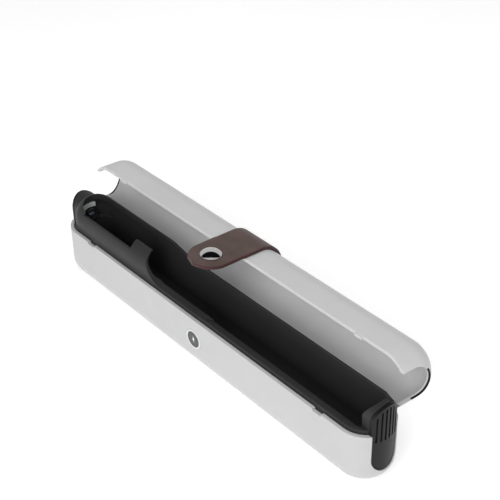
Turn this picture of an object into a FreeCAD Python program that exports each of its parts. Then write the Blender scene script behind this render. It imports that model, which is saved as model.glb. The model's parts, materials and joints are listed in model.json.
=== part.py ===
import FreeCAD, Part
import os
import re

import Sketcher
from FreeCAD import Placement, Rotation, Vector

# A slim ultraviolet travel case for one toothbrush, standing open.
# Frame: X along the case, the button side faces -Y, the hinge side +Y, Z = 0 on the underside.
# Pieces of the lid and of the strap flap are drawn as on the closed case and then turned open.

doc = FreeCAD.newDocument("ToothbrushSanitizer")
sheet = doc.addObject("Spreadsheet::Sheet", "Sizes")

SIZES = {
    # outer case
    "case_length": 230.0,
    "case_width": 28.0,
    "base_height": 29.0,
    "closed_height": 50.5,
    "base_edge": 9.8,
    "lid_edge": 11.0,
    "base_wall": 1.8,
    "lid_wall": 1.6,
    "rim_gap": 0.2,
    # hinge line and opening angle
    "hinge_y": 12.2,
    "hinge_z": 32.0,
    "open_angle": 92.0,
    "knuckle_x": 77.5,
    "knuckle_width": 13.0,
    "knuckle_radius": 1.8,
    "side_knuckle": 3.2,
    "pin_radius": 0.8,
    "pin_fit": 0.06,
    "swing_room": 0.35,
    # cradle liner
    "tray_radius": 11.9,
    "tray_wall": 1.4,
    "tray_under": 10.4,
    "lip_top": 31.0,
    "lip_step": 0.5,
    "lip_tread": 1.3,
    "ledge_top": 28.6,
    "trough_half": 7.7,
    "trough_y": -0.3,
    "trough_floor": 12.0,
    "trough_left": -104.0,
    "chamber_left": -106.0,
    "chamber_half": 8.6,
    "chamber_y": -1.2,
    "chamber_round": 7.8,
    "trough_right": 110.5,
    "trough_round": 6.0,
    "back_wall_y": 8.6,
    "back_wall_top": 39.5,
    "arch_centre": 35.8,
    "arch_half": 7.2,
    "bend_x": 105.0,
    "bend_fit": 0.15,
    "end_wall_rise": 0.6,
    "hood_top": 46.0,
    "hood_edge": 11.6,
    "hood_left": -111.2,
    "hood_right": 11.8,
    "hood_fit": 0.1,
    "hood_overlap": 0.5,
    "chamber_top": 44.6,
    "chamber_right": -30.0,
    "mouth_left": -104.0,
    "mouth_half": 7.6,
    "mouth_sill": 40.0,
    "neck_left": -54.5,
    "neck_top": 44.2,
    "sweep_radius": 13.0,
    "sweep_end": -28.5,
    "neck_front": -5.6,
    # end plates
    "plate_half": 7.3,
    "plate_low": 15.3,
    "plate_inset": 0.5,
    "plate_thick": 1.45,
    "plate_back": 109.1,
    "groove_pitch": 2.2,
    "groove_width": 1.0,
    "groove_depth": 0.8,
    "groove_foot": 25.0,
    "groove_margin": 1.2,
    "window_half": 7.4,
    # notches in the lid's ends, with their seals
    "notch_half": 8.4,
    "seal_width": 0.8,
    "seal_foot": 36.0,
    "seal_front": -5.5,
    "seal_depth": 0.85,
    "seal_fit": 0.05,
    "seal_proud": 0.08,
    "lid_end_reach": 9.0,
    # closing tabs on the front rim
    "tab_x": 86.0,
    "tab_width": 4.6,
    "tab_drop": 0.9,
    "tab_fit": 0.3,
    # power button
    "button_z": 17.2,
    "bezel_radius": 5.2,
    "bezel_wall": 0.85,
    "button_fit": 0.1,
    # strap
    "strap_half": 11.0,
    "strap_thick": 1.7,
    "strap_gap": 0.1,
    "band_foot": 29.6,
    "band_back_foot": 37.0,
    "flap_top": 28.5,
    "flap_gap": 0.3,
    "snap_z": 17.5,
    "snap_radius": 5.3,
    "snap_proud": 2.5,
    "snap_post": 1.4,
    "snap_magnet": 4.0,
    # charging socket
    "port_half": 3.0,
    "port_radius": 1.7,
    "port_front": 9.0,
    "port_back": 15.0,
    # reach of cutting tools past the case, and common small fits
    "tool_top": 60.0,
    "tool_back": 15.0,
    "tool_half": 20.0,
    "tiny_gap": 0.05,
    "wall_foot": 24.0,
    "end_top": 46.0,
    "back_leg": 2.0,
    # slopes of the high back wall: where each begins and how high it is there
    "slope_a": -83.0,
    "slope_b": -55.0,
    "slope_b_top": 43.5,
    "slope_c": -42.0,
    "slope_c_top": 42.2,
    "slope_d": -30.0,
    "slope_d_top": 39.9,
    "slope_e": -20.0,
    "slope_end": 118.0,
    # room for the button's works behind the liner's front
    "works_half": 8.5,
    "works_rise": 7.5,
    "works_front": -12.5,
    # lamp
    "cup_radius": 2.6,
    "cup_wall": 0.5,
    "cup_depth": 1.0,
    "lamp_post": 1.1,
    "lamp_stand": 1.9,
    "window_radius": 2.68,
    "window_thick": 0.8,
    "ring_radius": 3.2,
    "ring_depth": 1.5,
    "led_side": 1.0,
    "led_apart": 0.7,
    "trim_wide": 1.8,
    "trim_foot": 38.0,
    "trim_top": 40.4,
    "trim_reach": 4.5,
    # electronics
    "board_z": 3.6,
    "board_thick": 1.0,
    "lamp_x": -103.9,
    "lamp_z": 34.4,
}

for row, (alias, value) in enumerate(SIZES.items(), start=1):
    sheet.set(f"A{row}", alias)
    sheet.set(f"B{row}", str(value))
    sheet.setAlias(f"B{row}", alias)
doc.recompute()


def size(alias):
    """Value of one driving dimension."""
    return float(sheet.get(alias))


def cells(formula):
    """Turn a formula in plain aliases into one that reads the sheet."""
    return re.sub(r"[a-z_]{3,}", lambda word: "Sizes." + word.group(0), str(formula))


def bind(thing, **formulas):
    """Bind properties of a document object to formulas; a double underscore stands for a dot."""
    for name, formula in formulas.items():
        thing.setExpression(name.replace("__", "."), cells(formula))


def name_of(label):
    return "".join(word.capitalize() for word in label.split("_"))


# Part primitives and booleans ---------------------------------------------------------------

TURNS = {"X": Rotation(Vector(0, 1, 0), 90), "Y": Rotation(Vector(1, 0, 0), -90), "Z": Rotation()}
AXES = {"X": Vector(1, 0, 0), "Y": Vector(0, 1, 0), "Z": Vector(0, 0, 1)}


def place_at(thing, x, y, z):
    bind(thing, Placement__Base__x=x, Placement__Base__y=y, Placement__Base__z=z)


def box(label, x0, x1, y0, y1, z0, z1):
    """A box between two corners, each coordinate a formula."""
    thing = doc.addObject("Part::Box", name_of(label))
    bind(thing, Length=f"({x1}) - ({x0})", Width=f"({y1}) - ({y0})", Height=f"({z1}) - ({z0})")
    place_at(thing, x0, y0, z0)
    thing.Label = label
    return thing


def rod(label, axis, x, y, z, radius, length):
    """A cylinder that starts at a point and runs along an axis."""
    thing = doc.addObject("Part::Cylinder", name_of(label))
    thing.Placement = Placement(Vector(), TURNS[axis])
    bind(thing, Radius=radius, Height=length)
    place_at(thing, x, y, z)
    thing.Label = label
    return thing


def fuse(label, *parts):
    thing = doc.addObject("Part::MultiFuse", name_of(label))
    thing.Shapes = list(parts)
    thing.Refine = True
    thing.Label = label
    return thing


def common(label, *parts):
    thing = doc.addObject("Part::MultiCommon", name_of(label))
    thing.Shapes = list(parts)
    thing.Label = label
    return thing


def cut(label, base, tool):
    thing = doc.addObject("Part::Cut", name_of(label))
    thing.Base = base
    thing.Tool = tool
    thing.Label = label
    return thing


# Sketches and bodies --------------------------------------------------------------------------

def new_body(label):
    body = doc.addObject("PartDesign::Body", name_of(label) + "Body")
    body.Label = label
    return body


def new_sketch(body, label, plane, x=0, y=0, z=0):
    """A sketch on one of the body's own planes, moved in the plane's own directions."""
    sketch = body.newObject("Sketcher::SketchObject", name_of(body.Label + "_" + label))
    origin = [item for item in body.Origin.OriginFeatures if item.Role == plane + "_Plane"][0]
    sketch.AttachmentSupport = [(origin, "")]
    sketch.MapMode = "FlatFace"
    bind(sketch, AttachmentOffset__Base__x=x, AttachmentOffset__Base__y=y, AttachmentOffset__Base__z=z)
    return sketch


def add_named(sketch, name, formula, kind, *spots):
    """Add a constraint that is driven by the sheet."""
    index = sketch.addConstraint(Sketcher.Constraint(kind, *spots, abs(size_now(formula))))
    sketch.renameConstraint(index, name)
    sketch.setExpression("Constraints." + name, cells(formula))


def size_now(formula):
    """Present value of a formula."""
    return float(sheet.evalExpression(cells(formula)))


def draw_slot(sketch, half_length, radius):
    """A slot about the sketch's origin: two straight sides and two half circles."""
    reach = size_now(half_length) - size_now(radius)
    r = size_now(radius)
    top = sketch.addGeometry(Part.LineSegment(Vector(reach, r, 0), Vector(-reach, r, 0)))
    low = sketch.addGeometry(Part.LineSegment(Vector(-reach, -r, 0), Vector(reach, -r, 0)))
    quarter = Vector(0, 0, 1)
    left_circle = Part.Circle(Vector(-reach, 0, 0), quarter, r)
    right_circle = Part.Circle(Vector(reach, 0, 0), quarter, r)
    half_turn = 3.141592653589793
    left = sketch.addGeometry(Part.ArcOfCircle(left_circle, half_turn / 2, half_turn * 3 / 2))
    right = sketch.addGeometry(Part.ArcOfCircle(right_circle, -half_turn / 2, half_turn / 2))
    for first, first_end, second, second_end in (
        (top, 2, left, 1), (left, 2, low, 1), (low, 2, right, 1), (right, 2, top, 1),
    ):
        sketch.addConstraint(Sketcher.Constraint("Tangent", first, first_end, second, second_end))
    sketch.addConstraint(Sketcher.Constraint("Horizontal", top))
    sketch.addConstraint(Sketcher.Constraint("Equal", left, right))
    sketch.addConstraint(Sketcher.Constraint("Symmetric", left, 3, right, 3, -1, 1))
    add_named(sketch, "radius", radius, "Radius", left)
    add_named(sketch, "centres", f"2 * (({half_length}) - ({radius}))", "DistanceX", left, 3, right, 3)


def draw_outline(sketch, points):
    """A closed outline of straight sides; each point is two formulas, none of them zero."""
    spots = [Vector(size_now(x), size_now(y), 0) for x, y in points]
    lines = []
    for index, spot in enumerate(spots):
        following = spots[(index + 1) % len(spots)]
        lines.append(sketch.addGeometry(Part.LineSegment(spot, following)))
    for index, line in enumerate(lines):
        following = lines[(index + 1) % len(lines)]
        sketch.addConstraint(Sketcher.Constraint("Coincident", line, 2, following, 1))
    for index, (x, y) in enumerate(points):
        add_named(sketch, f"x{index}", x, "DistanceX", -1, 1, lines[index], 1)
        add_named(sketch, f"y{index}", y, "DistanceY", -1, 1, lines[index], 1)


def feature(body, kind, sketch, length, back=False, middle=False):
    """Pad or pocket a sketch. A pad runs along the plane's normal and a pocket against it."""
    step = body.newObject("PartDesign::" + kind, sketch.Name + kind)
    step.Profile = sketch
    bind(step, Length=length)
    step.Reversed = back
    step.Midplane = middle
    before = body.Shape.Volume if kind == "Pocket" else 0.0
    doc.recompute()
    if kind == "Pocket" and step.Shape.Volume > before - 0.01:
        raise RuntimeError(f"{step.Name} cuts nothing")
    return step


def slot_step(body, label, kind, half_length, radius, z, length, x=0, y=0, back=False):
    sketch = new_sketch(body, label, "XY", x=x, y=y, z=z)
    draw_slot(sketch, half_length, radius)
    return feature(body, kind, sketch, length, back)


def outline_step(body, label, kind, plane, points, z, length, back=False, middle=False):
    sketch = new_sketch(body, label, plane, z=z)
    draw_outline(sketch, points)
    return feature(body, kind, sketch, length, back, middle)


def round_edges(body, step, radius, picks, label):
    """Fillet those edges of a step that the test picks."""
    names = [f"Edge{index}" for index, edge in enumerate(step.Shape.Edges, start=1) if picks(edge.BoundBox)]
    fillet = body.newObject("PartDesign::Fillet", name_of(body.Label + "_" + label))
    fillet.Base = (step, names)
    bind(fillet, Radius=radius)
    doc.recompute()
    if not names or fillet.Shape.isNull() or not fillet.Shape.isValid():
        raise RuntimeError(f"{fillet.Name} failed on {names}")
    return fillet


def level(z, clear=0.01):
    """Test for edges that lie flat at one height."""
    height = size_now(z)
    return lambda b: abs(b.ZMin - height) < clear and abs(b.ZMax - height) < clear


def capsule(label, half_length, radius, z0, z1, edge, edge_z, x=0, y=0):
    """A solid slot block with one long edge rounded, as a body of its own."""
    body = new_body(label)
    pad = slot_step(body, "block", "Pad", half_length, radius, z0, f"({z1}) - ({z0})", x=x, y=y)
    round_edges(body, pad, edge, level(edge_z), "round")
    return body


def end_reach(sign):
    """The stretch along X that takes in one round end of the case."""
    if sign > 0:
        return "case_length / 2 - lid_end_reach", BEYOND
    return f"-({BEYOND})", "lid_end_reach - case_length / 2"


def upright_slot(label, half_width, low, high, x0, x1):
    """A prism along X whose section is an upright slot with round ends."""
    tall = box(label + "_middle", x0, x1, f"-({half_width})", half_width, low, high)
    foot = rod(label + "_foot", "X", x0, 0, low, half_width, f"({x1}) - ({x0})")
    head = rod(label + "_head", "X", x0, 0, high, half_width, f"({x1}) - ({x0})")
    return fuse(label, tall, foot, head)


# Moving pieces: how the lid stands open -------------------------------------------------------

HINGE = Vector(0, size("hinge_y"), size("hinge_z"))
OPENING = Rotation(Vector(1, 0, 0), -size("open_angle"))
OPEN = Placement(HINGE - OPENING.multVec(HINGE), OPENING)

NODES = []


def keep(thing, label=None, turned=False):
    """Record a sub-part; one that belongs to the lid is turned open about the hinge."""
    if label:
        thing.Label = label
    if turned and thing.isDerivedFrom("Part::Primitive"):
        # A primitive's own place is bound to the sheet, so it is turned inside a holder.
        holder = doc.addObject("Part::Compound", thing.Name + "Open")
        holder.Links = [thing]
        label = thing.Label
        thing.Label = label + "_closed"
        holder.Label = label
        thing = holder
    if turned:
        thing.Placement = OPEN.multiply(thing.Placement)
    NODES.append(thing)
    return thing


# Base shell -----------------------------------------------------------------------------------

BEYOND = "case_length / 2 + 5"
CENTRE_Y = "case_width / 2"


def make_base_shell():
    outside = capsule("base_outside", "case_length / 2", "case_width / 2", 0, "base_height", "base_edge", 0)
    cavity = capsule("base_cavity", "case_length / 2 - base_wall", "case_width / 2 - base_wall", "base_wall",
                     "base_height + 1", "base_edge - base_wall", "base_wall")
    button_hole = rod("button_hole", "Y", 0, f"-{CENTRE_Y} - 1", "button_z", "bezel_radius + button_fit",
                      "base_wall + 2")
    windows = []
    for side, x0, x1 in (("right", "plate_back", BEYOND), ("left", f"-({BEYOND})", "-plate_back")):
        windows.append(upright_slot(f"window_{side}", "window_half", "plate_low", "arch_centre", x0, x1))
    notches = []
    for side, sign in (("right", 1), ("left", -1)):
        reach = "tab_width / 2 + tab_fit"
        notches.append(box(f"tab_notch_{side}", f"{sign} * tab_x - ({reach})", f"{sign} * tab_x + {reach}",
                           "-case_width / 2 - 1", "-case_width / 2 + base_wall + 0.1",
                           "base_height - tab_drop - 0.2", "base_height + 1"))
    port = usb_port_room()
    hollowed = cut("base_hollowed", outside,
                   fuse("base_openings", cavity, button_hole, *windows, *notches, port))
    knuckles = []
    for side, sign in (("right", 1), ("left", -1)):
        x0 = f"{sign} * knuckle_x - knuckle_width / 2"
        x1 = f"{sign} * knuckle_x + knuckle_width / 2"
        barrel = rod(f"base_barrel_{side}", "X", x0, "hinge_y", "hinge_z", "knuckle_radius", "knuckle_width")
        leg = box(f"base_leg_{side}", x0, x1, "hinge_y - knuckle_radius", "hinge_y + knuckle_radius",
                  "base_height - 0.1", "hinge_z")
        knuckles += [barrel, leg]
    bore = rod("base_pin_bore", "X", "-case_length / 2", "hinge_y", "hinge_z", "pin_radius + 0.02",
               "case_length")
    shell = cut("base_shell", fuse("base_with_knuckles", hollowed, *knuckles), bore)
    return keep(shell)


def usb_port_room():
    """Round-ended opening for the charging socket, low in the middle of the back."""
    foot = "board_z + board_thick"
    middle = box("port_middle", "-port_half", "port_half", "port_front", "port_back", foot,
                 f"{foot} + 2 * port_radius")
    ends = [rod(f"port_end_{side}", "Y", x, "port_front", f"{foot} + port_radius", "port_radius",
                "port_back - port_front")
            for side, x in (("right", "port_half"), ("left", "-port_half"))]
    return fuse("port_room", middle, *ends)


# Cradle liner with its hood -------------------------------------------------------------------

def make_cradle_tray():
    body = new_body("tray_blank")
    reach = "case_length / 2 - case_width / 2 + tray_radius"
    slot_step(body, "tub", "Pad", reach, "tray_radius", "tray_under", "lip_top - tray_under")
    slot_step(body, "step_one", "Pocket", f"{reach} - lip_tread", "tray_radius - lip_tread",
              "lip_top", "lip_step")
    slot_step(body, "step_two", "Pocket", f"{reach} - 2 * lip_tread", "tray_radius - 2 * lip_tread",
              "lip_top - lip_step", "lip_step")
    slot_step(body, "underside", "Pocket", f"{reach} - tray_wall", "tray_radius - tray_wall",
              "tray_under", "lip_top - 2 * lip_step - tray_wall - tray_under", back=True)
    slot_step(body, "trough_wall", "Pad", "(trough_right - trough_left) / 2 + tray_wall",
              "trough_half + tray_wall", "tray_under", "lip_top - 2 * lip_step - tray_under - 0.1",
              x="(trough_left + trough_right) / 2", y="trough_y")
    hood = slot_step(body, "hood", "Pad", "(hood_right - hood_left) / 2", "tray_radius - hood_fit",
                     "lip_top - 2 * lip_step - hood_overlap",
                     "hood_top - lip_top + 2 * lip_step + hood_overlap",
                     x="(hood_right + hood_left) / 2")
    round_edges(body, hood, "hood_edge", level("hood_top"), "hood_round")
    outline_step(body, "back_wall", "Pad", "YZ",
                 [("back_leg", "wall_foot"), ("back_wall_y", "wall_foot"), ("back_wall_y", "back_wall_top"),
                  ("back_leg", "back_wall_top")], "slope_d", f"{BEYOND} - slope_d")
    # Both ends are closed by an arch that follows the round end of the case.
    tall_end = new_body("tall_end")
    slot_step(tall_end, "block", "Pad", reach, "tray_radius", "wall_foot", "end_top - wall_foot")
    arches = []
    for side, x0, x1 in (("right", "bend_x", BEYOND), ("left", f"-({BEYOND})", "-bend_x")):
        arches.append(upright_slot(f"arch_{side}", "arch_half", "wall_foot", "arch_centre + end_wall_rise",
                                   x0, x1))
    inside_end = new_body("tray_limit")
    slot_step(inside_end, "block", "Pad", reach, "tray_radius", "tray_under - 1", "tool_top")
    whole = fuse("tray_with_ends", body, common("end_arches", tall_end, fuse("arches", *arches)))
    limited = common("tray_limited", whole, inside_end)
    return keep(cut("cradle_tray", limited, tray_cutter()))


def tray_cutter():
    """All that the liner leaves free: its front edge, the lid's swing, the end plates, the back ledge."""
    sill = box("cut_sill", "mouth_left + mouth_half", "neck_left", "-tool_back", "chamber_y - 1.8",
               "mouth_sill", "tool_top")
    neck = box("cut_neck", "neck_left - 1", "sweep_end", "-tool_back", "chamber_y - 0.8", "neck_top",
               "tool_top")
    sweep = rod("cut_sweep", "Y", "sweep_end", "-tool_back", "lip_top + sweep_radius", "sweep_radius",
                "tool_back + back_leg")
    front = box("cut_front", "sweep_end", "bend_x", "-tool_back", "trough_y + trough_half", "lip_top",
                "tool_top")
    back = box("cut_back", f"-({BEYOND})", BEYOND, "back_wall_y", "tool_back", "ledge_top", "tool_top")
    mouth = box("cut_mouth", "mouth_left + mouth_half", "neck_left", "chamber_y - mouth_half",
                "chamber_y + mouth_half", "mouth_sill", "tool_top")
    throat = box("cut_throat", "neck_left - 1", "sweep_end", "neck_front", "trough_y + trough_half",
                 "mouth_sill", "tool_top")
    mouth_end = rod("cut_mouth_end", "Z", "mouth_left + mouth_half", "chamber_y", "mouth_sill",
                    "mouth_half", 20)
    trough = capsule("trough_room", "(trough_right - trough_left) / 2", "trough_half", "trough_floor",
                     "mouth_sill + 0.1", "trough_round", "trough_floor",
                     x="(trough_left + trough_right) / 2", y="trough_y")
    end_room = new_body("end_room")
    slot_step(end_room, "block", "Pad", "trough_half + 8", "trough_half", "back_wall_top - 2", "20",
              x="trough_right - trough_half - 8", y="trough_y")
    chamber = capsule("chamber_room", "(chamber_right - chamber_left) / 2", "chamber_half", "lip_top",
                      "chamber_top", "chamber_round", "chamber_top",
                      x="(chamber_right + chamber_left) / 2", y="chamber_y")
    # The high back wall falls away from the hood in slopes.
    slope = new_body("back_slope")
    outline_step(slope, "side", "Pad", "XZ",
                 [("slope_a", "hood_top + 1"), ("slope_b", "slope_b_top"), ("slope_c", "slope_c_top"),
                  ("slope_d", "slope_d_top"), ("slope_e", "back_wall_top"), ("slope_end", "back_wall_top"),
                  ("slope_end", "hood_top + 3"), ("slope_a", "hood_top + 3")], "-back_leg", "tool_half",
                 back=True)
    parts = [sill, neck, sweep, front, back, mouth, throat, mouth_end, lid_swing(), trough, end_room,
             chamber, slope]
    # Towards both ends the tall back wall leans inwards, clear of the lid's turning corner.
    for side, sign in (("right", 1), ("left", -1)):
        bend = new_body(f"bend_{side}")
        outline_step(bend, "side", "Pad", "XY",
                     [(f"{sign} * (bend_x - 4)", "back_wall_y + 1"),
                      (f"{sign} * (bend_x + 5)", "arch_half - bend_fit"),
                      (f"{sign} * (bend_x + 12)", "arch_half - bend_fit"),
                      (f"{sign} * (bend_x + 12)", "tool_half"),
                      (f"{sign} * (bend_x - 4)", "tool_half")], "ledge_top", "tool_top - ledge_top")
        parts.append(bend)
    button_room = box("button_room", "-works_half", "works_half", "works_front",
                      "trough_y - trough_half - tray_wall", "button_z - works_rise", "button_z + works_rise")
    parts.append(button_room)
    return fuse("tray_cutter", *parts)


def lid_swing():
    """Space that the lid's inner face sweeps in front of and over the liner, turned about the hinge."""
    straight = size("case_length") / 2 - size("case_width") / 2
    inner = size("case_width") / 2 - size("lid_wall")
    notch = size("notch_half")
    turn_in = (inner ** 2 - notch ** 2) ** 0.5
    half_way = inner * 0.92
    base_reach = size("hinge_y") - size("swing_room")
    hinge_y, hinge_z = size("hinge_y"), size("hinge_z")
    end = size("case_length") / 2
    far = 60.0

    def spot(x, reach):
        return Vector(x, hinge_y - reach, hinge_z)

    def half(side):
        """From the middle of the case to one end, where the notch's edge takes over from the wall."""
        middle = (inner ** 2 - half_way ** 2) ** 0.5
        bow = Part.Arc(spot(side * straight, base_reach + inner),
                       spot(side * (straight + middle), base_reach + half_way),
                       spot(side * (straight + turn_in), base_reach + notch))
        flat = Part.LineSegment(spot(side * (straight + turn_in), base_reach + notch),
                                spot(side * end, base_reach + notch))
        rise = Part.LineSegment(spot(side * end, base_reach + notch), spot(side * end, far))
        return [bow.toShape(), flat.toShape(), rise.toShape()]

    edges = half(1) + half(-1)
    for reach, x in ((base_reach + inner, straight), (far, end)):
        edges.append(Part.LineSegment(spot(-x, reach), spot(x, reach)).toShape())
    face = Part.Face(Part.Wire(Part.__sortEdges__(edges)))
    swing = doc.addObject("Part::Feature", "LidSwing")
    swing.Shape = face.revolve(Vector(0, hinge_y, hinge_z), Vector(1, 0, 0), -100)
    return swing


# End plates -----------------------------------------------------------------------------------

def make_end_plates():
    inset = "case_width / 2 - plate_inset"
    for side, sign in (("right", 1), ("left", -1)):
        x0, x1 = ("plate_back", BEYOND) if sign > 0 else (f"-({BEYOND})", "-plate_back")
        outside = capsule(f"plate_outside_{side}", "case_length / 2 - plate_inset", inset,
                          "plate_inset", 48, "base_edge - plate_inset", "plate_inset")
        inside = capsule(f"plate_inside_{side}", "case_length / 2 - plate_inset - plate_thick",
                         f"{inset} - plate_thick", "plate_inset + plate_thick", 49,
                         "base_edge - plate_inset - plate_thick", "plate_inset + plate_thick")
        outline = upright_slot(f"plate_outline_{side}", "plate_half", "plate_low", "arch_centre", x0, x1)
        block = cut(f"plate_block_{side}", common(f"plate_solid_{side}", outside, outline), inside)
        bars = []
        for index in range(6):
            y = f"({index} - 2.5) * groove_pitch"
            bars.append(box(f"groove_{side}_{index}", x0, x1, f"{y} - groove_width / 2",
                            f"{y} + groove_width / 2", "groove_foot", "48"))
        inner = upright_slot(f"groove_outline_{side}", "plate_half - groove_margin", "plate_low",
                             "arch_centre", x0, x1)
        comb = common(f"groove_comb_{side}", fuse(f"groove_bars_{side}", *bars), inner)
        core = capsule(f"plate_core_{side}", "case_length / 2 - plate_inset - groove_depth",
                       "case_width / 2 - plate_inset - groove_depth", "plate_inset + groove_depth", 48,
                       "base_edge - 1", "plate_inset + groove_depth")
        keep(cut(f"end_plate_{side}", block, cut(f"grooves_{side}", comb, core)))


# Lid ------------------------------------------------------------------------------------------

def make_lid_shell():
    rim = "base_height + rim_gap"
    outside = capsule("lid_outside", "case_length / 2", "case_width / 2", rim, "closed_height",
                      "lid_edge", "closed_height")
    cavity = capsule("lid_cavity", "case_length / 2 - lid_wall", "case_width / 2 - lid_wall", f"{rim} - 1",
                     "closed_height - lid_wall", "lid_edge - lid_wall", "closed_height - lid_wall")
    # The back rim is bevelled so that it clears the base while the lid turns.
    bevel = new_body("back_bevel")
    outline_step(bevel, "side", "Pad", "YZ",
                 [("hinge_y", f"{rim} - 0.1"), ("hinge_y + 2.3", f"{rim} - 0.1"),
                  ("hinge_y + 2.3", f"{rim} + 0.92")],
                 0, "case_length + 10", middle=True)
    rooms = [cavity, bevel]
    for side, sign in (("right", 1), ("left", -1)):
        x0, x1 = end_reach(sign)
        rooms.append(upright_slot(f"notch_{side}", "notch_half", "base_height - 5", "arch_centre", x0, x1))
        rooms.append(seal_ring(f"seal_room_{side}", sign, "seal_fit"))
        rooms.append(box(f"knuckle_room_{side}", f"{sign} * knuckle_x - knuckle_width / 2 - 0.3",
                         f"{sign} * knuckle_x + knuckle_width / 2 + 0.3", "hinge_y - 3", "hinge_y + 3",
                         "base_height", "hinge_z + knuckle_radius + 0.7"))
    open_shell = cut("lid_open_shell", outside, fuse("lid_rooms", *rooms))
    extras = []
    for side, sign in (("right", 1), ("left", -1)):
        for number, start in enumerate(("knuckle_width / 2 + 0.3",
                                        "-knuckle_width / 2 - 0.3 - side_knuckle")):
            extras.append(rod(f"lid_barrel_{side}_{number}", "X", f"{sign} * knuckle_x + ({start})",
                              "hinge_y", "hinge_z", "knuckle_radius", "side_knuckle"))
        extras.append(box(f"tab_{side}", f"{sign} * tab_x - tab_width / 2", f"{sign} * tab_x + tab_width / 2",
                          "0.2 - case_width / 2", "0.2 - case_width / 2 + 1.2",
                          "base_height - tab_drop", "base_height + 1.2"))
    bore = rod("lid_pin_bore", "X", "-case_length / 2", "hinge_y", "hinge_z", "pin_radius + pin_fit",
               "case_length")
    shell = cut("lid_shell", fuse("lid_with_barrels", open_shell, *extras), bore)
    return keep(shell, turned=True)


def seal_ring(label, sign, fit):
    """Arch-shaped strip let into the outer half of the notch's cut edge, grown by a fit all round."""
    x0, x1 = end_reach(sign)
    outer = upright_slot(label + "_outer", f"notch_half + seal_width + {fit}", "base_height", "arch_centre",
                         x0, x1)
    inner = upright_slot(label + "_inner", f"notch_half + 0.02 - {fit}", 0, "arch_centre", x0, x1)
    floor = box(label + "_floor", x0, x1, "-tool_half", "tool_half", 0, f"seal_foot - {fit}")
    front = box(label + "_front", x0, x1, "-tool_half", f"seal_front - {fit}", 0, "tool_top")
    strip = cut(label + "_strip", outer, fuse(label + "_inside", inner, floor, front))
    depth = f"(seal_depth + {fit})"
    top = f"closed_height - {depth}"
    core = capsule(label + "_core", f"case_length / 2 - {depth}", f"case_width / 2 - {depth}",
                   "base_height - 20", top, f"lid_edge - {depth}", top)
    return cut(label, strip, core)


def make_notch_seals():
    for side, sign in (("right", 1), ("left", -1)):
        skin = capsule(f"seal_skin_{side}", "case_length / 2 + seal_proud", "case_width / 2 + seal_proud",
                       "base_height - 20", "closed_height + seal_proud", "lid_edge + seal_proud",
                       "closed_height + seal_proud")
        seal = common(f"notch_seal_{side}", seal_ring(f"seal_strip_{side}", sign, "0.01"), skin)
        keep(seal, turned=True)


def make_hinge_pins():
    for side, sign in (("right", 1), ("left", -1)):
        length = "(knuckle_width + 2 * side_knuckle + 0.6)"
        keep(rod(f"hinge_pin_{side}", "X", f"{sign} * knuckle_x - {length} / 2", "hinge_y", "hinge_z",
                 "pin_radius", length))


# Button ---------------------------------------------------------------------------------------

BOLT = [("9.35", "11.9"), ("10.9", "9.9"), ("10.1", "9.9"), ("10.65", "8.1"), ("9.1", "10.1"),
        ("9.9", "10.1")]


def bolt_prism(label, y, length):
    """A small generic lightning bolt, cut out along Y."""
    body = new_body(label)
    sketch = new_sketch(body, "outline", "XZ", x="-10", y="button_z - 10", z=y)
    draw_outline(sketch, BOLT)
    feature(body, "Pad", sketch, length, back=True)
    return body


def make_button():
    face = "-case_width / 2"
    outer = rod("bezel_outer", "Y", 0, f"{face} - 0.15", "button_z", "bezel_radius", "2.4")
    collar = rod("bezel_collar", "Y", 0, f"{face} + base_wall + 0.05", "button_z", "bezel_radius + 0.9",
                 "0.5")
    bore = rod("bezel_bore", "Y", 0, f"{face} - 1", "button_z", "bezel_radius - bezel_wall", "5")
    keep(cut("button_bezel_ring", fuse("bezel_blank", outer, collar), bore))
    disc = rod("cap_disc", "Y", 0, face, "button_z", "bezel_radius - bezel_wall - button_fit", "1.4")
    stem = rod("cap_stem", "Y", 0, f"{face} + 1.4", "button_z", "2.2", "0.5")
    cap = fuse("cap_blank", disc, stem)
    keep(cut("power_button_cap", cap, bolt_prism("cap_bolt_room", f"-({face}) + 1", "5")))
    keep(bolt_prism("button_light_guide", f"-({face}) - 0.02", "1.85"))
    for label, half_x, half_z, y0, y1 in (("tact_switch", 1.6, 1.6, 2.6, 3.5),
                                          ("switch_board", 7.5, 6.5, 3.5, 4.3)):
        keep(box(label, -half_x, half_x, f"{face} + {y0}", f"{face} + {y1}",
                 f"button_z - {half_z}", f"button_z + {half_z}"))
    for side, x in (("right", "6.6"), ("left", "-6.6")):
        keep(box(f"closure_magnet_{side}", f"{x} - 0.4", f"{x} + 0.4", f"{face} + base_wall + 0.05",
                 f"{face} + 3.4", "button_z - 4", "button_z + 4"))


# Strap, flap and snap -------------------------------------------------------------------------

def make_strap_band():
    reach = "case_width / 2 + strap_gap"
    outer = strap_arch("band_outer", f"{reach} + strap_thick", "closed_height + strap_gap + strap_thick",
                       "lid_edge + strap_gap + strap_thick", "strap_half")
    inner = strap_arch("band_inner", reach, "closed_height + strap_gap", "lid_edge + strap_gap",
                       "strap_half + 1")
    short_back = box("band_back_room", "-strap_half - 2", "strap_half + 2", "5", "tool_half", "0",
                     "band_back_foot")
    keep(cut("strap_band", outer, fuse("band_inside", inner, short_back)), turned=True)


def strap_arch(label, half_depth, top, edge, half_width):
    """A block as wide as the strap, rounded like the lid's roof."""
    body = new_body(label)
    pad = outline_step(body, "block", "Pad", "YZ",
                       [(f"-({half_depth})", "band_foot"), (half_depth, "band_foot"), (half_depth, top),
                        (f"-({half_depth})", top)], 0, f"2 * ({half_width})", middle=True)
    at_crown = level(top)
    round_edges(body, pad, edge, lambda b: at_crown(b) and b.XLength > 1 and b.YLength < 0.01, "round")
    return body


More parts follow.
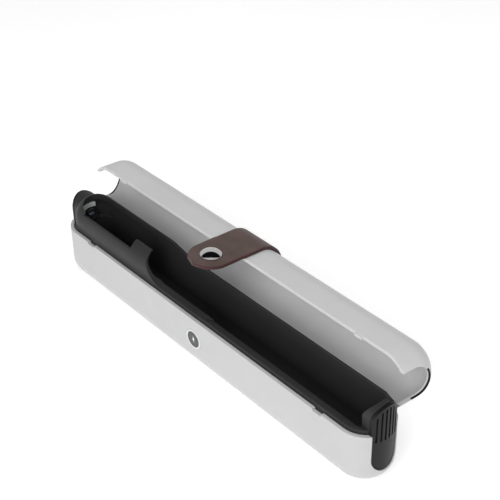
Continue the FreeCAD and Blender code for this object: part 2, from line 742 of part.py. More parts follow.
def make_flap():
    inner = "-case_width / 2 - flap_gap"
    outer = f"{inner} - strap_thick"
    slab = box("flap_slab", "-strap_half", "strap_half", outer, inner, "snap_z", "flap_top")
    tip = rod("flap_tip", "Y", 0, outer, "snap_z", "strap_half", "strap_thick")
    post_hole = rod("flap_post_hole", "Y", 0, f"{outer} - 1", "snap_z", "snap_post", "5")
    magnet_room = rod("flap_magnet_room", "Y", 0, f"{inner} - 0.9", "snap_z", "snap_magnet + 0.1", "2")
    keep(cut("strap_flap", fuse("flap_blank", slab, tip), fuse("flap_holes", post_hole, magnet_room)),
         turned=True)
    keep(rod("snap_magnet", "Y", 0, f"{inner} - 0.88", "snap_z", "snap_magnet", "0.8"), turned=True)
    keep(rod("snap_post", "Y", 0, outer, "snap_z", "snap_post - 0.02", "strap_thick - 0.9"), turned=True)
    # The snap's cap is the crown of a ball: its radius follows from its width and height.
    ball_radius = "(snap_radius * snap_radius + snap_proud * snap_proud) / (2 * snap_proud)"
    ball = doc.addObject("Part::Sphere", "SnapBall")
    bind(ball, Radius=ball_radius)
    place_at(ball, 0, f"{outer} - snap_proud + {ball_radius}", "snap_z")
    crown = rod("snap_crown_room", "Y", 0, f"{outer} - snap_proud - 1", "snap_z", "snap_radius",
                "snap_proud + 1")
    keep(common("snap_cap", ball, crown), turned=True)
    for side, x in (("right", "6"), ("left", "-6")):
        keep(rod(f"strap_rivet_{side}", "Y", x, "case_width / 2 + strap_gap + strap_thick",
                 "band_back_foot + 3",
                 "1.6", "0.6"), turned=True)


# Ultraviolet lamp, on the end wall of the hood's chamber ---------------------------------------

def make_lamp():
    def disc(label, start, radius, length):
        return rod(label, "X", f"lamp_x + {start}", "chamber_y", "lamp_z", radius, length)

    cup = cut("lamp_cup", disc("lamp_outer", "-cup_depth", "cup_radius", "cup_depth"),
              disc("lamp_inner", "0.4 - cup_depth", "cup_radius - cup_wall", "cup_depth"))
    keep(fuse("uv_lamp_housing", cup, disc("lamp_post_rod", "-lamp_stand", "lamp_post", "cup_depth")))
    keep(cut("uv_bezel_ring", disc("bezel_disc", "0", "ring_radius", "ring_depth"),
             disc("bezel_eye", "-1", "window_radius + 0.02", "ring_depth + 2")))
    keep(disc("uv_window", "0.5", "window_radius", "window_thick"))
    keep(box("uv_board", "lamp_x - 0.58", "lamp_x - 0.2", "chamber_y - 2 * led_apart",
             "chamber_y + 2 * led_apart",
             "lamp_z - 2 * led_apart", "lamp_z + 2 * led_apart"))
    for side, y in (("right", "chamber_y + led_apart"), ("left", "chamber_y - led_apart")):
        keep(box(f"uv_led_{side}", "lamp_x - 0.2", "lamp_x + 0.3", f"{y} - led_side / 2",
                 f"{y} + led_side / 2", "lamp_z - led_side / 2", "lamp_z + led_side / 2"))
    keep(box("uv_reflector", "mouth_left + 7", "neck_left - 5.5", "trough_y - 1.6", "trough_y + 1.6",
             "trough_floor + 0.02", "trough_floor + 0.4"))
    # A bright strip curves along the chamber's end wall, just under the mouth.
    end_x = "chamber_left + chamber_half"
    tall = "trim_top - trim_foot"
    outer = rod("trim_outer", "Z", end_x, "chamber_y", "trim_foot", "chamber_half", tall)
    inner = rod("trim_inner", "Z", end_x, "chamber_y", "trim_foot - 1", "chamber_half - trim_wide",
                f"{tall} + 2")
    ring = cut("trim_ring", outer, inner)
    left_half = box("trim_half", "chamber_left - 1", "chamber_left + trim_reach", "-tool_half",
                    "chamber_y + 3",
                    "wall_foot", "tool_top")
    top = "chamber_top - tiny_gap"
    under_roof = capsule("trim_roof", "(chamber_right - chamber_left) / 2 - tiny_gap",
                         "chamber_half - tiny_gap",
                         "lip_top", top, "chamber_round - tiny_gap", top,
                         x="(chamber_right + chamber_left) / 2", y="chamber_y")
    keep(common("mouth_trim", ring, left_half, under_roof))


# Electronics under the liner ------------------------------------------------------------------

def make_electronics():
    top = "board_z + board_thick"
    board = box("board_blank", "-42", "40", "-7.6", "7.6", "board_z", top)
    keep(board, label="main_board")
    keep(box("control_chip", "-16", "-9", "-4", "3", top, f"{top} + 1"))
    keep(box("driver_chip", "-34", "-30", "-2.5", "1.5", top, f"{top} + 1"))
    keep(box("inductor", "20", "25", "-3", "2", top, f"{top} + 2.2"))
    socket = box("socket_middle", "-2.9", "2.9", "6.4", "12.2", f"{top} + 0.05", f"{top} + 3.25")
    ends = [rod(f"socket_end_{side}", "Y", x, "6.4", f"{top} + 1.65", "1.6", "5.8")
            for side, x in (("right", "2.9"), ("left", "-2.9"))]
    mouth = box("socket_mouth", "-3.6", "3.6", "8", "13", f"{top} + 0.65", f"{top} + 2.65")
    keep(cut("usb_c_socket", fuse("socket_blank", socket, *ends), mouth))
    keep(box("socket_tongue", "-3.2", "3.2", "8", "11.8", f"{top} + 1.3", f"{top} + 2"))
    keep(box("battery_cell", "46", "98", "-8.6", "5", "board_z", "board_z + 5.6"))
    keep(box("battery_pad", "50", "94", "-6", "6", "board_z + 5.6", "board_z + 6.6"))
    keep(box("battery_cradle", "46", "98", "-4", "4", "base_wall", "board_z"))
    for side, x in (("right", "34"), ("left", "-37")):
        post = rod(f"board_post_{side}", "Z", x, 0, "base_wall", "2.4", "board_z - base_wall")
        keep(post)
    keep(box("lid_sensor", "26", "30", "-10.4", "-9.5", "24", "27"))


def make_lid_magnets():
    for side, x in (("right", "92"), ("left", "28")):
        keep(box(f"lid_magnet_{side}", f"{x} - 4", f"{x} + 4", "lid_wall - case_width / 2",
                 "lid_wall - case_width / 2 + 0.7", "base_height + 4.5", "base_height + 8"), turned=True)


make_base_shell()
make_cradle_tray()
make_end_plates()
make_button()
make_hinge_pins()
make_lamp()
make_electronics()
make_lid_shell()
make_notch_seals()
make_lid_magnets()
make_strap_band()
make_flap()
doc.recompute()


# Checks and export ----------------------------------------------------------------------------

for thing in doc.Objects:
    if "Invalid" in thing.State or "Error" in thing.State:
        raise RuntimeError(f"{thing.Label} failed: {thing.State}")

os.makedirs("parts", exist_ok=True)
for thing in NODES:
    if thing.Shape.isNull() or not thing.Shape.isValid():
        raise RuntimeError(f"{thing.Label} has no valid shape")
for thing in NODES:
    thing.Shape.exportStep(os.path.join("parts", thing.Label + ".step"))
    bounds = thing.Shape.BoundBox
    print(f"{thing.Label}: {len(thing.Shape.Solids)} solid, {thing.Shape.Volume:.0f} mm3, "
          f"x {bounds.XMin:.1f}..{bounds.XMax:.1f} y {bounds.YMin:.1f}..{bounds.YMax:.1f} "
          f"z {bounds.ZMin:.1f}..{bounds.ZMax:.1f}")
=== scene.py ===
import json
import math

import bmesh
import bpy
from mathutils import Matrix, Vector


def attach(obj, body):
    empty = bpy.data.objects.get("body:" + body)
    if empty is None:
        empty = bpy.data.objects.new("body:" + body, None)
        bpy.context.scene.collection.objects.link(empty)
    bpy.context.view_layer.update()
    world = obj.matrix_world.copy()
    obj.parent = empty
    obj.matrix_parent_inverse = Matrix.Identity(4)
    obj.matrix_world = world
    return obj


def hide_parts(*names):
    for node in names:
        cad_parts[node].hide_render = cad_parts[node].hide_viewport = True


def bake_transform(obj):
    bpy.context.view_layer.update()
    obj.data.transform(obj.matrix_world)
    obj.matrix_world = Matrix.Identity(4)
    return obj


# A slim ultraviolet travel case for a toothbrush, standing open on a pale table.
# Metres; +Z up, +X along the case, the button side faces -Y and the lid opens towards +Y.

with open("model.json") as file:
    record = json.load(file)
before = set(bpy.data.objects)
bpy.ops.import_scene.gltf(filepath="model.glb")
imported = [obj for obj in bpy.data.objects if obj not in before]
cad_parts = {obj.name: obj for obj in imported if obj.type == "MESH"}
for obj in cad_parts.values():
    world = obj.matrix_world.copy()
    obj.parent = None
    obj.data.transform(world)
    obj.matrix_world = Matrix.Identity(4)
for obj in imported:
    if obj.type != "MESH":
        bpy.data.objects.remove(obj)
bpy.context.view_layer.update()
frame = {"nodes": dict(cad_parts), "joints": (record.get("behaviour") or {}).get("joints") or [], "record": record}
NODES = frame["nodes"]
MM = 0.001


# Places on the case ----------------------------------------------------------------------------

def joint_named(name):
    return next(joint for joint in frame["joints"] if joint["name"] == name)


HINGE = Vector(joint_named("lid_hinge")["pos_m"])
OPEN_ANGLE = math.radians(joint_named("lid_hinge")["range_deg"][1])
OPENING = Matrix.Rotation(-OPEN_ANGLE, 4, "X")


def opened(point):
    """A point of the closed lid, turned with the lid to where it stands open."""
    return HINGE + (OPENING @ (Vector(point) - HINGE).to_4d()).to_3d()


CASE_HALF_DEPTH = 14.0 * MM
CLOSED_TOP = 50.5 * MM
LID_EDGE_RADIUS = 11.0 * MM
PARTING_LOW = 29.2 * MM
PARTING_HIGH = 30.2 * MM


# Node tools ------------------------------------------------------------------------------------

# Numbers of the mix node's colour sockets, which share their names with its other sockets.
MIX_COLOUR_A = 6
MIX_COLOUR_B = 7
MIX_RESULT = 2


class Maker:
    """Small helper that adds shader nodes and joins them."""

    def __init__(self, name):
        self.material = bpy.data.materials.new(name)
        self.material.use_nodes = True
        self.tree = self.material.node_tree
        self.shader = self.tree.nodes["Principled BSDF"]

    def add(self, kind, **settings):
        node = self.tree.nodes.new(kind)
        for key, value in settings.items():
            setattr(node, key, value)
        return node

    def join(self, source, target):
        self.tree.links.new(source, target)

    def object_place(self):
        return self.add("ShaderNodeTexCoord").outputs["Object"]

    def noise(self, scale, detail=3.0, rough=0.5, stretch=(1, 1, 1)):
        """Noise whose scale is in cycles per metre."""
        mapping = self.add("ShaderNodeMapping")
        mapping.inputs["Scale"].default_value = stretch
        texture = self.add("ShaderNodeTexNoise")
        texture.inputs["Scale"].default_value = scale
        texture.inputs["Detail"].default_value = detail
        texture.inputs["Roughness"].default_value = rough
        self.join(self.object_place(), mapping.inputs["Vector"])
        self.join(mapping.outputs["Vector"], texture.inputs["Vector"])
        return texture.outputs["Fac"]

    def cells(self, scale, feature="DISTANCE_TO_EDGE"):
        """Cells whose scale is in cycles per metre."""
        texture = self.add("ShaderNodeTexVoronoi", feature=feature)
        texture.inputs["Scale"].default_value = scale
        self.join(self.object_place(), texture.inputs["Vector"])
        return texture.outputs["Distance"]

    def spread(self, source, low, high, start=0.3, end=0.7):
        """Map a texture's range from start to end to the numbers from low to high."""
        node = self.add("ShaderNodeMapRange")
        node.inputs["From Min"].default_value = start
        node.inputs["From Max"].default_value = end
        node.inputs["To Min"].default_value = low
        node.inputs["To Max"].default_value = high
        self.join(source, node.inputs["Value"])
        return node.outputs["Result"]

    def mix(self, factor, first, second):
        """Mix two colours, each a tuple or a socket."""
        node = self.add("ShaderNodeMix", data_type="RGBA")
        self.join(factor, node.inputs["Factor"])
        for number, value in ((MIX_COLOUR_A, first), (MIX_COLOUR_B, second)):
            if isinstance(value, tuple):
                node.inputs[number].default_value = (*value, 1.0)
            else:
                self.join(value, node.inputs[number])
        return node.outputs[MIX_RESULT]

    def bump(self, height, distance, strength=1.0, normal=None):
        node = self.add("ShaderNodeBump")
        node.inputs["Distance"].default_value = distance
        node.inputs["Strength"].default_value = strength
        self.join(height, node.inputs["Height"])
        if normal is not None:
            self.join(normal, node.inputs["Normal"])
        return node.outputs["Normal"]

    def soft_edges(self, radius):
        """Normals of edges that are rounded by a small radius, as moulded edges are."""
        node = self.add("ShaderNodeBevel", samples=6)
        node.inputs["Radius"].default_value = radius
        return node.outputs["Normal"]

    def edge_mask(self, radius):
        """0 on open surface and up to 1 along edges."""
        bevel = self.soft_edges(radius)
        plain = self.add("ShaderNodeNewGeometry").outputs["Normal"]
        product = self.add("ShaderNodeVectorMath", operation="DOT_PRODUCT")
        self.join(bevel, product.inputs[0])
        self.join(plain, product.inputs[1])
        return self.spread(product.outputs["Value"], 1.0, 0.0, start=0.75, end=0.99)

    def painted_lighter_above_parting(self, colour, painted_light_gain):
        """The colour, scaled up above the height where the shells part: painted light that brightens the lid,
        which the lamps leave too dark.
        """
        place = self.add("ShaderNodeSeparateXYZ")
        self.join(self.object_place(), place.inputs["Vector"])
        above = self.spread(place.outputs["Z"], 1.0, painted_light_gain, start=PARTING_LOW, end=PARTING_HIGH)
        painted_lighter = self.add("ShaderNodeVectorMath", operation="SCALE")
        self.join(colour, painted_lighter.inputs["Vector"])
        self.join(above, painted_lighter.inputs["Scale"])
        return painted_lighter.outputs["Vector"]

    def finish(self, colour, roughness, normal=None, **values):
        """Set the shader's main sockets, each from a tuple, a number or a socket."""
        for name, source in (("Base Color", colour), ("Roughness", roughness), ("Normal", normal)):
            socket = self.shader.inputs[name]
            if source is None:
                continue
            if isinstance(source, float):
                socket.default_value = source
            else:
                self.join(source, socket)
        for name, value in values.items():
            self.shader.inputs[name.replace("_", " ")].default_value = value
        return self.material


def shade(colour, factor):
    return tuple(channel * factor for channel in colour)


# Materials -------------------------------------------------------------------------------------

def moulded(name, colour, rough, grain=0.012 * MM, grain_scale=3200, edge=0.3 * MM, highlight_lift=1.12, specular=0.5,
            upper_painted_light_gain=None):
    """Moulded plastic: fine spark grain, faint flow mottling, edges rounded and lightened by a painted highlight.

    With an upper painted-light gain, everything above the base's rim is painted that much lighter, as painted
    light standing in for light the lamps do not bring to the lid."""
    maker = Maker(name)
    flow = maker.noise(45, detail=4)
    speck = maker.noise(grain_scale, detail=2)
    body = maker.mix(maker.spread(flow, 0.0, 1.0), shade(colour, 0.965), shade(colour, 1.025))
    body = maker.mix(maker.spread(speck, 0.0, 0.35, start=0.45, end=0.75), body, shade(colour, 0.93))
    # Painted highlight: the edges are mixed towards a lighter colour, standing in for light glinting on them.
    wear_and_highlight = maker.spread(maker.edge_mask(edge), 0.0, 0.7, start=0.0, end=1.0)
    body = maker.mix(wear_and_highlight, body, shade(colour, highlight_lift))
    # Painted light: the lid above the parting line is made lighter than the base.
    if upper_painted_light_gain:
        body = maker.painted_lighter_above_parting(body, upper_painted_light_gain)
    roughness = maker.spread(flow, rough - 0.035, rough + 0.045)
    normal = maker.bump(speck, grain, 0.9, maker.soft_edges(edge))
    return maker.finish(body, roughness, normal, Specular_IOR_Level=specular)


def leather(name, colour, edge_colour):
    """Waxed leather: fine pebble grain with pores, worn light patches and a dark red burnished edge."""
    maker = Maker(name)
    pebble = maker.cells(2300)
    crease = maker.noise(900, detail=6, rough=0.62)
    patch = maker.noise(110, detail=4)
    pores = maker.cells(5200, "F1")
    wear_and_highlight = maker.spread(patch, 0.0, 1.0, start=0.35, end=0.68)
    body = maker.mix(wear_and_highlight, shade(colour, 0.78), shade(colour, 1.25))
    between = maker.spread(pebble, 0.75, 0.0, start=0.0, end=0.16)
    body = maker.mix(between, body, shade(colour, 0.62))
    rubbed = maker.spread(crease, 0.0, 0.5, start=0.45, end=0.72)
    body = maker.mix(rubbed, body, shade(colour, 1.45))
    trim = maker.add("ShaderNodeAttribute", attribute_name="edge")
    body = maker.mix(trim.outputs["Fac"], body, edge_colour)
    roughness = maker.spread(crease, 0.44, 0.66)
    normal = maker.bump(pebble, 0.11 * MM, 0.8)
    normal = maker.bump(crease, 0.09 * MM, 0.7, normal)
    normal = maker.bump(pores, 0.04 * MM, 0.5, normal)
    return maker.finish(body, roughness, normal, Specular_IOR_Level=0.42,
                        Sheen_Weight=0.12, Sheen_Roughness=0.4)


def metal(name, colour, rough, brushed=False, metallic=1.0):
    """Plated or brushed metal with fine wear marks; less metallic where it is only a satin coat."""
    maker = Maker(name)
    marks = maker.noise(1400, detail=5, rough=0.6, stretch=(1, 14, 14) if brushed else (1, 1, 1))
    haze = maker.noise(260, detail=3)
    body = maker.mix(maker.spread(haze, 0.0, 1.0), shade(colour, 0.93), shade(colour, 1.03))
    roughness = maker.spread(marks, rough * 0.7, rough * 1.5)
    depth = 0.006 * MM if brushed else 0.0015 * MM
    normal = maker.bump(marks, depth, 0.8, maker.soft_edges(0.15 * MM))
    return maker.finish(body, roughness, normal, Metallic=metallic)


def rubber(name, colour):
    """Matt rubber with a dusty bloom."""
    maker = Maker(name)
    bloom = maker.noise(700, detail=5, rough=0.7)
    body = maker.mix(maker.spread(bloom, 0.0, 1.0), shade(colour, 0.8), shade(colour, 1.7))
    normal = maker.bump(bloom, 0.03 * MM, 0.7, maker.soft_edges(0.25 * MM))
    return maker.finish(body, maker.spread(bloom, 0.62, 0.82), normal, Specular_IOR_Level=0.35)


def glass(name, tint):
    """Quartz window with a trace of dust."""
    maker = Maker(name)
    dust = maker.noise(1500, detail=5, rough=0.7)
    body = maker.mix(maker.spread(dust, 0.0, 0.4), tint, shade(tint, 0.8))
    return maker.finish(body, maker.spread(dust, 0.02, 0.12), Transmission_Weight=0.85, IOR=1.46)


def board_mask(name, colour):
    """Solder mask with traces."""
    maker = Maker(name)
    weave = maker.noise(2600, detail=2, stretch=(1, 6, 1))
    traces = maker.spread(maker.cells(420), 1.0, 0.0, start=0.03, end=0.06)
    body = maker.mix(traces, colour, shade(colour, 1.9))
    normal = maker.bump(weave, 0.02 * MM, 0.6, maker.soft_edges(0.1 * MM))
    return maker.finish(body, maker.spread(weave, 0.25, 0.4), normal)


def glowing(name, colour, strength):
    """Milky light guide that scarcely glows."""
    maker = Maker(name)
    haze = maker.noise(900, detail=4)
    body = maker.mix(maker.spread(haze, 0.0, 1.0), shade(colour, 0.92), colour)
    maker.shader.inputs["Emission Color"].default_value = (*colour, 1.0)
    return maker.finish(body, maker.spread(haze, 0.2, 0.35), maker.soft_edges(0.1 * MM),
                        Emission_Strength=strength)


# The shell is painted lighter above the rim, as painted light on the lid.
SHELL = moulded("shell_satin", (0.56, 0.56, 0.562), 0.42, edge=0.4 * MM, highlight_lift=1.3, upper_painted_light_gain=1.18)
# Painted highlight: here and in the shell above, the highlight lift lightens each moulded material's edges.
LINER = moulded("liner_charcoal", (0.029, 0.0292, 0.0298), 0.5, grain=0.02 * MM, grain_scale=2600,
                highlight_lift=3.0, specular=0.3)
PLATE = moulded("plate_charcoal", (0.0095, 0.0095, 0.0098), 0.46, grain=0.02 * MM, grain_scale=2600,
                edge=0.25 * MM, highlight_lift=3.4, specular=0.25)
RING = moulded("ring_gloss", (0.78, 0.79, 0.8), 0.2, grain=0.004 * MM, grain_scale=2600,
               edge=0.2 * MM, highlight_lift=1.1)
BUTTON = moulded("button_grey", (0.053, 0.053, 0.055), 0.38, grain_scale=2600, highlight_lift=1.3)
BLACK = moulded("parts_black", (0.02, 0.02, 0.022), 0.4)
FOAM = moulded("foam_black", (0.03, 0.03, 0.03), 0.85, grain=0.1 * MM, grain_scale=1800)
WRAP = moulded("cell_wrap", (0.12, 0.2, 0.34), 0.3, grain=0.006 * MM, grain_scale=900)
CHROME = metal("snap_chrome", (0.86, 0.86, 0.85), 0.05)
STEEL = metal("pin_steel", (0.6, 0.6, 0.61), 0.28, brushed=True)
SATIN_METAL = metal("ring_metal", (0.74, 0.75, 0.76), 0.3, brushed=True, metallic=0.3)
MIRROR = metal("reflector_metal", (0.85, 0.86, 0.87), 0.12, brushed=True)
SEAL = rubber("seal_black", (0.012, 0.012, 0.013))
QUARTZ = glass("lamp_quartz", (0.16, 0.17, 0.22))
BOARD = board_mask("board_green", (0.015, 0.12, 0.05))
LIGHT = glowing("bolt_light", (0.95, 0.97, 1.0), 0.35)
LEATHER = leather("strap_leather", (0.104, 0.068, 0.06), edge_colour=(0.05, 0.012, 0.014))

SLOT_MATERIALS = {
    "shell_plastic": SHELL, "liner_plastic": LINER, "plate_plastic": PLATE, "bezel_plastic": RING,
    "button_plastic": BUTTON, "light_guide": LIGHT, "black_plastic": BLACK, "circuit_board": BOARD,
    "magnet": STEEL, "steel": STEEL, "bezel_metal": SATIN_METAL, "quartz": QUARTZ, "led": LIGHT,
    "reflector": MIRROR, "battery": WRAP, "foam": FOAM, "seal": SEAL, "strap_leather": LEATHER,
    "snap_chrome": CHROME,
}


def dress_frame():
    """Give each CAD piece the material of its slot."""
    slots = {part["node"]: part["material_slot"] for part in frame["record"]["subparts"]}
    for name, thing in NODES.items():
        thing.data.materials.clear()
        thing.data.materials.append(SLOT_MATERIALS[slots[name]])


# Meshes ----------------------------------------------------------------------------------------

def new_object(name, data, material):
    thing = bpy.data.objects.new(name, data)
    bpy.context.scene.collection.objects.link(thing)
    thing.data.materials.append(material)
    return thing


def bridge(mesh, first, second):
    """Faces between two rings of vertices, of which the first may be a single point."""
    count = len(second)
    for index in range(count):
        following = (index + 1) % count
        if len(first) == 1:
            mesh.faces.new([first[0], second[following], second[index]])
        else:
            mesh.faces.new([first[index], first[following], second[following], second[index]])


def smooth_object(name, mesh, material, sharp_angle):
    """Turn a bmesh into an object that is shaded smooth, apart from edges past an angle in degrees."""
    bmesh.ops.recalc_face_normals(mesh, faces=mesh.faces)
    data = bpy.data.meshes.new(name)
    mesh.to_mesh(data)
    mesh.free()
    thing = new_object(name, data, material)
    for polygon in data.polygons:
        polygon.use_smooth = True
    data.set_sharp_from_angle(angle=math.radians(sharp_angle))
    return thing


# Leather strap ---------------------------------------------------------------------------------

STRAP_HALF = 11 * MM
STRAP_THICK = 1.7 * MM
STRAP_GAP = 0.1 * MM
STRAP_BULGE = 0.35 * MM
STRAP_ACROSS = 16
STRAP_BACK_FOOT = 37 * MM
CORNER_STEPS = 14

# The flap stands off a little further than the band, with a small step between them.
FLAP_STAND_OFF = 0.2 * MM
FLAP_TIP = 6.5 * MM
FLAP_TOP = 29.4 * MM
FLAP_STEPS = 12
STEP_RISE = 0.5 * MM
BAND_STEPS = 4

SNAP_HEIGHT = FLAP_TIP + STRAP_HALF


def strap_route():
    """Inner face of the strap on the closed case, from the flap's tip over the roof to the back.

    Returns points with the outward direction at each."""
    reach = CASE_HALF_DEPTH + STRAP_GAP
    bend = LID_EDGE_RADIUS + STRAP_GAP
    bend_foot = CLOSED_TOP + STRAP_GAP - bend
    band_foot = FLAP_TOP + STEP_RISE
    forward = Vector((0, -1, 0))
    route = []
    for index in range(FLAP_STEPS):
        height = FLAP_TIP + (FLAP_TOP - FLAP_TIP) * index / FLAP_STEPS
        route.append((Vector((0, -reach - FLAP_STAND_OFF, height)), forward))
    for index in range(BAND_STEPS):
        height = band_foot + (bend_foot - band_foot) * index / BAND_STEPS
        route.append((Vector((0, -reach, height)), forward))
    for index in range(2 * CORNER_STEPS + 1):
        side = -1 if index <= CORNER_STEPS else 1
        turn = math.pi / 2 * index / CORNER_STEPS
        outward = Vector((0, -math.cos(turn), math.sin(turn)))
        centre = Vector((0, side * (reach - bend), bend_foot))
        route.append((centre + outward * bend, outward))
    route.append((Vector((0, reach, STRAP_BACK_FOOT)), -forward))
    return route


def strap_section():
    """Points round the strap's section, whose cut edges are softly burnished.

    Each has its side from -1 to 1, its level from 0 at the inner face to 1 at the outer, and its bulge."""
    outer = [(2 * index / STRAP_ACROSS - 1, 1.0, 0.0) for index in range(STRAP_ACROSS + 1)]
    turns = [math.radians(turn) for turn in (30, 60, 90, 120, 150)]
    edge = [(0.5 + 0.5 * math.cos(turn), math.sin(turn)) for turn in turns]
    section = list(outer)
    section += [(1.0, level, bulge) for level, bulge in edge]
    section += [(-side, 0.0, 0.0) for side, level, bulge in outer]
    section += [(-1.0, level, bulge) for level, bulge in reversed(edge)]
    return section


def flat_half_width(height):
    """Half the width between the strap's burnished edges; the flap's tip is round about the snap."""
    widest = STRAP_HALF - STRAP_BULGE
    below_snap = max(0.0, SNAP_HEIGHT - height)
    return math.sqrt(max(0.0, widest ** 2 - below_snap ** 2))


def make_strap():
    """Band and flap as one piece of leather that bends between them."""
    mesh = bmesh.new()
    edge_layer = mesh.verts.layers.float.new("edge")
    section = strap_section()
    rings = []
    for spot, outward in strap_route():
        half = flat_half_width(spot.z)
        ring = []
        for side, level, bulge in section:
            across = Vector((side * (half + STRAP_BULGE * bulge), 0, 0))
            vert = mesh.verts.new(opened(spot + across + outward * STRAP_THICK * level))
            vert[edge_layer] = 1.0 if bulge > 0 else 0.0
            ring.append(vert)
        rings.append(ring)
    for first, second in zip(rings, rings[1:]):
        bridge(mesh, first, second)
    mesh.faces.new(rings[0])
    mesh.faces.new(rings[-1])
    bmesh.ops.remove_doubles(mesh, verts=mesh.verts, dist=0.01 * MM)
    strap = smooth_object("leather_strap", mesh, LEATHER, sharp_angle=50)
    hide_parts("strap_band", "strap_flap")
    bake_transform(strap)


# Snap ------------------------------------------------------------------------------------------

SNAP_RADIUS = 5.3 * MM
SNAP_THICK = 2.5 * MM
SNAP_RIM = 0.45 * MM
SNAP_ROLL = 0.12 * MM
SNAP_UNDERCUT = 0.15 * MM
DOME_STEPS = 12
SNAP_SIDES = 64


def snap_profile():
    """Radius and height of the snap's dome and rolled rim, from the middle out."""
    crown = SNAP_THICK - SNAP_RIM
    ball = (SNAP_RADIUS ** 2 + crown ** 2) / (2 * crown)
    profile = []
    for index in range(DOME_STEPS + 1):
        radius = (SNAP_RADIUS - SNAP_ROLL) * index / DOME_STEPS
        profile.append((radius, SNAP_THICK - ball + math.sqrt(ball ** 2 - radius ** 2)))
    profile.append((SNAP_RADIUS, SNAP_RIM * 0.8))
    profile.append((SNAP_RADIUS, SNAP_RIM * 0.3))
    profile.append((SNAP_RADIUS - SNAP_UNDERCUT, 0.0))
    return profile


def make_snap():
    """Domed snap cap, turned about its axis, which points away from the flap."""
    flap_face = -CASE_HALF_DEPTH - STRAP_GAP - FLAP_STAND_OFF - STRAP_THICK
    centre = Vector((0, flap_face, SNAP_HEIGHT))
    mesh = bmesh.new()
    rings = []
    for radius, height in snap_profile():
        ring = []
        for index in range(SNAP_SIDES if radius > 0 else 1):
            angle = 2 * math.pi * index / SNAP_SIDES
            out = Vector((radius * math.cos(angle), -height, radius * math.sin(angle)))
            ring.append(mesh.verts.new(opened(centre + out)))
        rings.append(ring)
    for first, second in zip(rings, rings[1:]):
        bridge(mesh, first, second)
    mesh.faces.new(rings[-1])
    snap = smooth_object("snap_dome", mesh, CHROME, sharp_angle=40)
    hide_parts("snap_cap")
    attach(snap, "flap")


# Stage -----------------------------------------------------------------------------------------

CAMERA_TURN = math.radians(50.4)
CAMERA_RISE = math.radians(33.9)
CAMERA_ROLL = math.radians(-1.1)
CAMERA_TARGET = Vector((0.0196, 0.0060, 0.0696))
CAMERA_DISTANCE = 0.5239
CAMERA_LENS = 83.57
CAMERA_SENSOR = 36.0

FLOOR_REACH = 3.0
WORLD_STRENGTH = 0.5
LIGHT_AIM = Vector((0.0, 0.0, 0.03))

# Each soft light's place, width, height and power in watts.
SOFT_LIGHTS = {
    "top_soft": ((0.05, 0.1, 1.1), 0.9, 0.9, 4.9),
    "front_low": ((0.43, -0.82, 0.37), 0.7, 0.4, 1.7),
    "front_high": ((0.35, -0.72, 0.62), 0.5, 0.4, 2.5),
}

# The overhead banner: the slopes at the ramp's two white ends, then places between them and their brightness.
BANNER_FROM = -1.0
BANNER_TO = 2.0
BANNER_STOPS = ((0.24, 1.0), (0.27, 0.01), (0.57, 0.01), (0.61, 1.0))


def make_floor():
    data = bpy.data.meshes.new("floor")
    corners = [Vector((x * FLOOR_REACH, y * FLOOR_REACH, 0)) for x, y in ((-1, -1), (1, -1), (1, 1), (-1, 1))]
    data.from_pydata(corners, [], [(0, 1, 2, 3)])
    maker = Maker("floor_white")
    mottle = maker.spread(maker.noise(3), 0.0, 1.0)
    body = maker.mix(mottle, (0.9, 0.9, 0.9), (0.93, 0.93, 0.93))
    maker.shader.inputs["Emission Color"].default_value = (1.0, 1.0, 1.0, 1.0)
    material = maker.finish(body, 0.6, Specular_IOR_Level=0.1, Emission_Strength=0.4)
    new_object("floor", data, material)


def make_lights():
    for name, (place, width, height, power) in SOFT_LIGHTS.items():
        data = bpy.data.lights.new(name, "AREA")
        data.shape = "RECTANGLE"
        data.size = width
        data.size_y = height
        data.energy = power
        lamp = bpy.data.objects.new(name, data)
        bpy.context.scene.collection.objects.link(lamp)
        lamp.location = place
        lamp.rotation_euler = (LIGHT_AIM - Vector(place)).to_track_quat("-Z", "Y").to_euler()
        lamp.visible_glossy = False


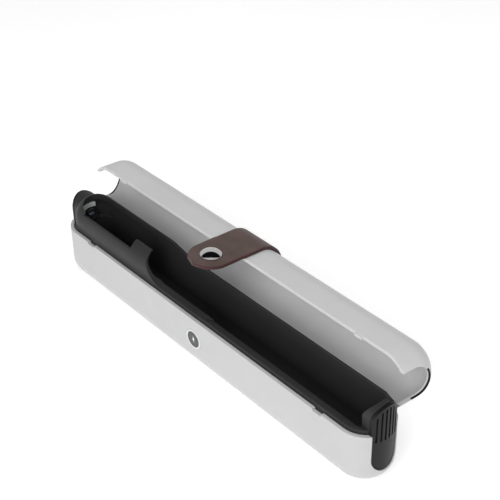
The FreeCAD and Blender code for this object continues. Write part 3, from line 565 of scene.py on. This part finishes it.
def make_world():
    """A white studio with one dark banner overhead, which the bright snap mirrors as a black band.

    The banner is found by how far a direction leans away from the camera for each unit that it rises."""
    world = bpy.data.worlds.new("studio")
    bpy.context.scene.world = world
    world.use_nodes = True
    tree = world.node_tree
    background = tree.nodes["Background"]
    background.inputs["Strength"].default_value = WORLD_STRENGTH
    place = tree.nodes.new("ShaderNodeTexCoord")
    rise = tree.nodes.new("ShaderNodeSeparateXYZ")
    lean = tree.nodes.new("ShaderNodeVectorMath")
    lean.operation = "DOT_PRODUCT"
    lean.inputs[1].default_value = (-math.sin(CAMERA_TURN), math.cos(CAMERA_TURN), 0.0)
    slope = tree.nodes.new("ShaderNodeMath")
    slope.operation = "DIVIDE"
    spread = tree.nodes.new("ShaderNodeMapRange")
    spread.inputs["From Min"].default_value = BANNER_FROM
    spread.inputs["From Max"].default_value = BANNER_TO
    ramp = tree.nodes.new("ShaderNodeValToRGB")
    tree.links.new(place.outputs["Generated"], rise.inputs["Vector"])
    tree.links.new(place.outputs["Generated"], lean.inputs[0])
    tree.links.new(lean.outputs["Value"], slope.inputs[0])
    tree.links.new(rise.outputs["Z"], slope.inputs[1])
    tree.links.new(slope.outputs["Value"], spread.inputs["Value"])
    tree.links.new(spread.outputs["Result"], ramp.inputs["Fac"])
    tree.links.new(ramp.outputs["Color"], background.inputs["Color"])
    stops = ramp.color_ramp.elements
    stops[0].color = (1.0, 1.0, 1.0, 1.0)
    for spot, level in BANNER_STOPS:
        stops.new(spot).color = (level, level, level, 1.0)


def make_camera():
    data = bpy.data.cameras.new("camera")
    data.sensor_width = CAMERA_SENSOR
    data.lens = CAMERA_LENS
    camera = bpy.data.objects.new("camera", data)
    bpy.context.scene.collection.objects.link(camera)
    flat = math.cos(CAMERA_RISE)
    back = Vector((math.sin(CAMERA_TURN) * flat, -math.cos(CAMERA_TURN) * flat, math.sin(CAMERA_RISE)))
    place = Matrix.Translation(CAMERA_TARGET + back * CAMERA_DISTANCE)
    facing = back.to_track_quat("Z", "Y").to_matrix().to_4x4()
    camera.matrix_world = place @ facing @ Matrix.Rotation(CAMERA_ROLL, 4, "Z")
    bpy.context.scene.camera = camera


dress_frame()
make_strap()
make_snap()
make_floor()
make_lights()
make_world()
make_camera()
bpy.context.scene.view_settings.view_transform = "Standard"
